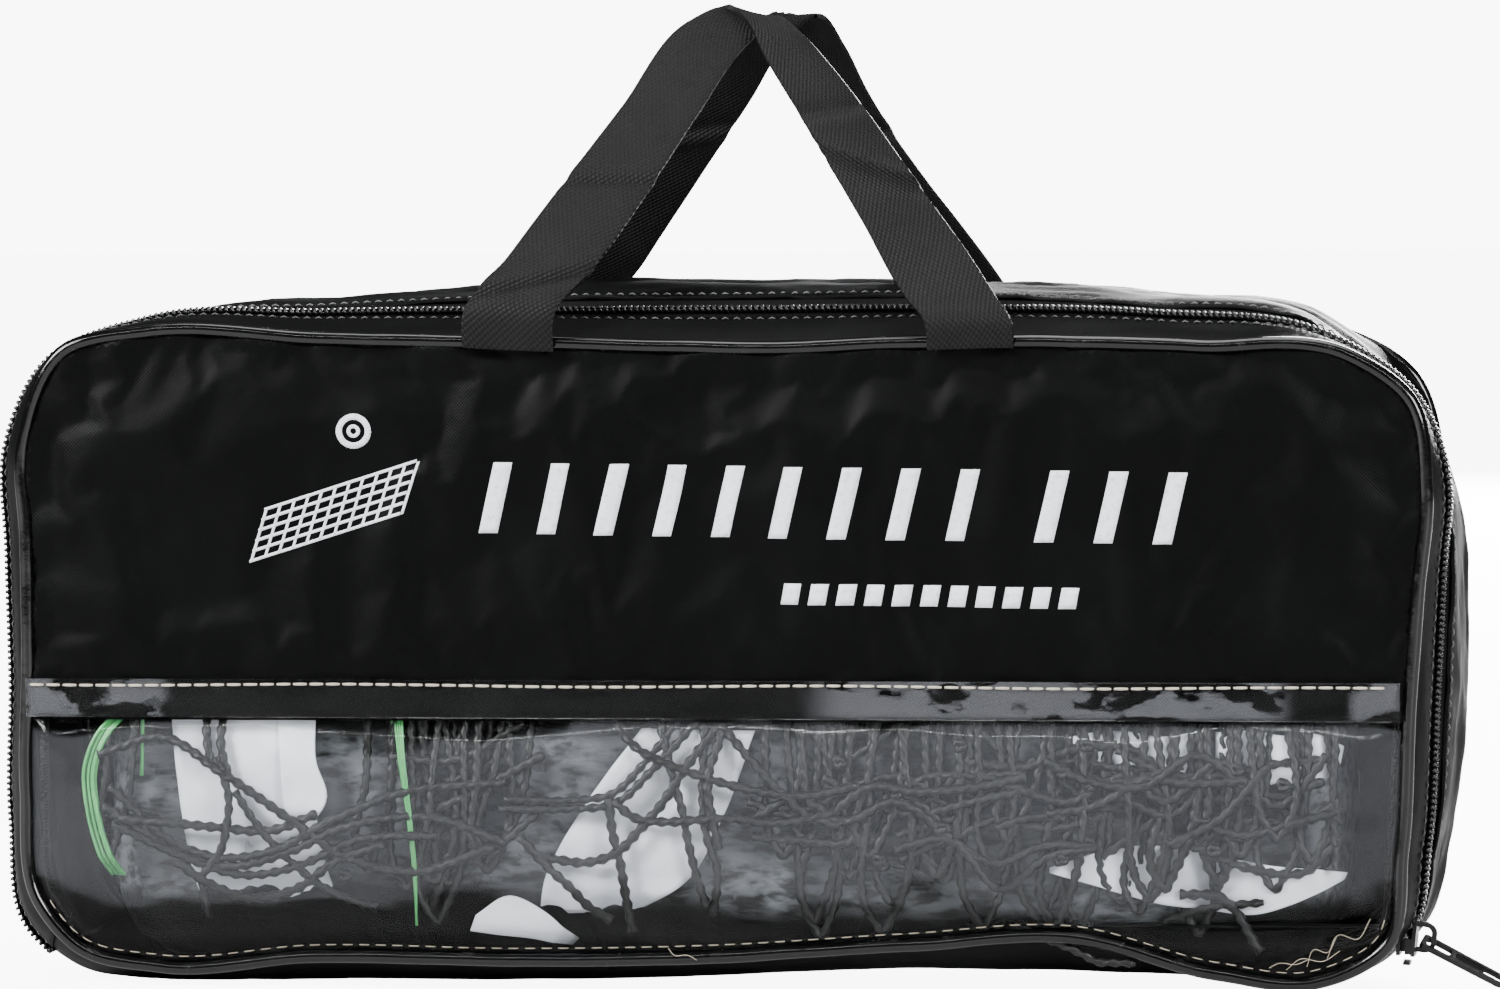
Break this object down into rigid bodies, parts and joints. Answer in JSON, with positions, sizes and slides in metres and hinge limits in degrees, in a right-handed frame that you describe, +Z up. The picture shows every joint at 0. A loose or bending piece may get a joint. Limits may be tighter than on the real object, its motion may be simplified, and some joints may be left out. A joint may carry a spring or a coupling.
{
  "type": "packed sports net in carry bag",
  "caption": "Packed volleyball net in a zipped black carry bag with a clear window, two webbing handles that fold, a front flap that opens and a zip slider with a pull",
  "frame": {"origin": "centre of the flat bottom that the bag stands on", "axes": "+X right along the bag, +Y away from the window, +Z up"},
  "size_m": [0.4515, 0.0957, 0.2914],
  "materials": {
    "bag_cloth": "black coated oxford nylon, fine plain weave, low sheen",
    "clear_film": "clear glossy PVC film",
    "piping": "glossy black PVC",
    "binding_tape": "black non-woven binding",
    "zip_tape": "black woven polyester",
    "zip_coil": "black nylon coil",
    "zip_metal": "black painted zinc",
    "webbing": "black polypropylene webbing, 1 inch",
    "net_twine": "black twisted polyethylene twine",
    "net_tape": "white coated tape",
    "tie_twine": "green twine"
  },
  "bodies": {
    "bag": {"back_panel": "bag_cloth", "back_piping": "piping", "back_binding": "binding_tape", "back_gusset": "bag_cloth", "bottom_gusset": "bag_cloth", "back_zip_tape": "zip_tape", "back_zip_coil": "zip_coil", "zip_end_tapes": "zip_tape", "zip_end_coils": "zip_coil", "zip_stops": "zip_metal", "back_handle_tabs": "webbing", "net_mesh": "net_twine", "headband_tape": "net_tape", "side_tape": "net_tape", "bottom_tape": "net_tape", "net_loops": "net_twine", "net_ties": "tie_twine"},
    "flap": {"front_panel": "bag_cloth", "window_film": "clear_film", "window_hem": "clear_film", "front_piping": "piping", "front_binding": "binding_tape", "front_gusset": "bag_cloth", "front_zip_tape": "zip_tape", "front_zip_coil": "zip_coil", "front_handle_tabs": "webbing"},
    "handle_front": {"front_handle": "webbing"},
    "handle_back": {"back_handle": "webbing"},
    "slider": {"slider_body": "zip_metal", "slider_bail": "zip_metal"},
    "pull": {"pull_tab": "zip_metal"}
  },
  "joints": [
    {"name": "flap_fold", "type": "hinge", "parent": "bag", "child": "flap", "pos_m": [0, -0.04, 0.0075], "axis": [1, 0, 0], "range_deg": [0, 78]},
    {"name": "front_handle_fold", "type": "hinge", "parent": "flap", "child": "handle_front", "pos_m": [0, -0.0452, 0.1995], "axis": [1, 0, 0], "range_deg": [0, 200]},
    {"name": "back_handle_fold", "type": "hinge", "parent": "bag", "child": "handle_back", "pos_m": [0, 0.0452, 0.1995], "axis": [-1, 0, 0], "range_deg": [0, 200]},
    {"name": "zip_slide", "type": "slide", "parent": "bag", "child": "slider", "axis": [0.0958, 0, 0.9954], "range_m": [0, 0.125]},
    {"name": "pull_swing", "type": "hinge", "parent": "slider", "child": "pull", "pos_m": [0.20907, -0.02, 0.01479], "axis": [0, -1, 0], "range_deg": [0, 105]}
  ]
}
